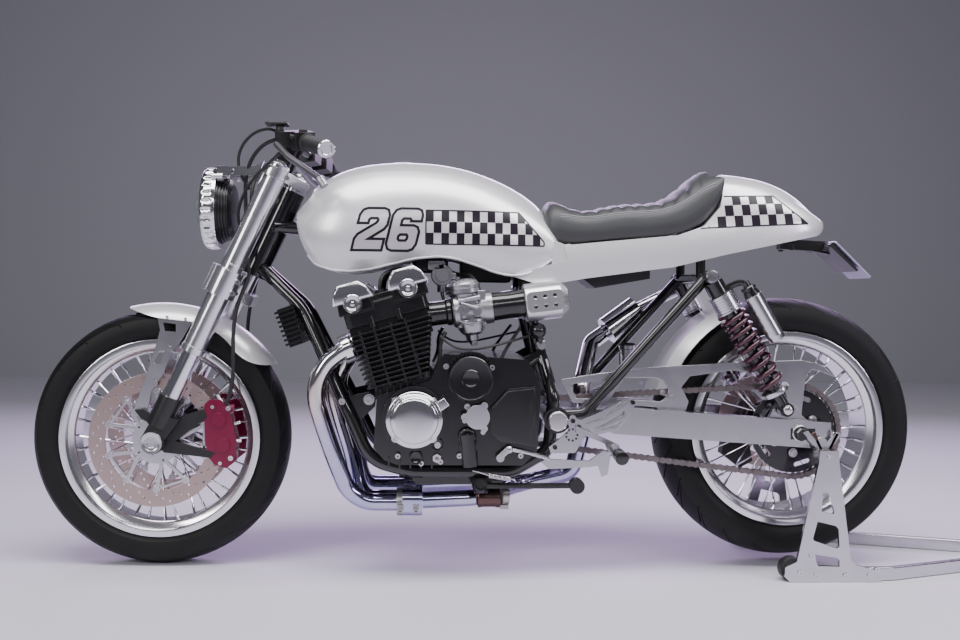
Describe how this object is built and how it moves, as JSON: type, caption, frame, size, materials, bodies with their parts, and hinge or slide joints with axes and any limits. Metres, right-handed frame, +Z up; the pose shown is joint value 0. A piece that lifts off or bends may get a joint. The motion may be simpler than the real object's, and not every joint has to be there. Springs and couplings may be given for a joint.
{
  "type": "cafe racer motorcycle on a paddock stand",
  "caption": "Cafe racer motorcycle with a long tank, humped seat tail, wire wheels and open four-cylinder engine, held upright by its rear paddock stand.",
  "frame": {"origin": "on the floor, under the middle of the whole length and width", "axes": "+X towards the rear along the wheelbase, +Y to the rider's right, +Z up"},
  "size_m": [2.45, 0.7346, 1.022],
  "materials": {
    "satin_silver": "satin",
    "black_metal": "gloss",
    "black_engine": "satin",
    "alloy": "satin",
    "polished": "polished",
    "exhaust": "polished",
    "steel": "satin",
    "tyre": "matte",
    "rubber": "matte",
    "seat": "matte",
    "lens": "clear",
    "caliper_red": "gloss",
    "plastic": "matte",
    "plate": "satin",
    "spring": "gloss"
  },
  "bodies": {
    "steering": {"fork_outer_tubes": "alloy", "fork_inner_tubes": "polished", "fork_feet": "black_metal", "front_axle_shaft": "steel", "front_calipers": "caliper_red", "triple_clamps": "alloy", "handlebar": "black_metal", "grips": "rubber", "bar_controls": "plastic", "levers": "alloy", "headlight_ring": "polished", "headlight_lens": "lens", "headlight_shell": "black_metal", "headlight_bracket": "polished", "front_fender": "satin_silver", "fender_brackets": "alloy", "brake_hoses": "rubber", "control_cables": "rubber"},
    "front_wheel": {"front_tyre": "tyre", "front_rim": "polished", "front_hub": "alloy", "front_discs": "steel"},
    "rear_wheel": {"rear_tyre": "tyre", "rear_rim": "polished", "rear_hub": "black_metal", "rear_sprocket": "black_metal", "rear_disc": "steel"},
    "side_stand": {"side_stand": "steel"},
    "root": {"frame_spine": "black_metal", "frame_left": "black_metal", "frame_right": "black_metal", "subframe": "black_metal", "engine_cases": "black_engine", "cylinder_block": "black_engine", "cylinder_head": "black_engine", "engine_covers": "polished", "carburettors": "alloy", "pod_filters": "alloy", "oil_cooler": "black_metal", "exhaust_headers": "exhaust", "silencer": "polished", "fuel_tank": "satin_silver", "seat": "seat", "tail_unit": "satin_silver", "seat_pan": "plastic", "plate_bracket": "black_metal", "number_plate": "plate", "swingarm": "alloy", "rear_axle_shaft": "steel", "chain": "steel", "chain_guard": "alloy", "hugger": "plastic", "shock_bodies": "black_metal", "shock_springs": "spring", "rear_sets": "alloy", "side_stand_bracket": "steel", "rear_brake": "black_metal", "stand_uprights": "alloy", "stand_arms": "alloy", "stand_rollers": "plastic"}
  },
  "joints": [
    {"name": "steering_head", "type": "hinge", "parent": "root", "child": "steering", "pos_m": [-0.7773, 0, 0.5568], "axis": [0.4147, 0, 0.91], "range_deg": [-24, 24]},
    {"name": "front_wheel_spin", "type": "hinge", "parent": "steering", "child": "front_wheel", "pos_m": [-0.925, 0, 0.3], "axis": [0, 1, 0], "continuous": true},
    {"name": "rear_wheel_spin", "type": "hinge", "parent": "root", "child": "rear_wheel", "pos_m": [0.561, 0, 0.334], "axis": [0, 1, 0], "continuous": true},
    {"name": "side_stand_swing", "type": "hinge", "parent": "root", "child": "side_stand", "pos_m": [-0.177, -0.156, 0.208], "axis": [0, 0.8862, -0.4633], "range_deg": [0, 104]}
  ]
}
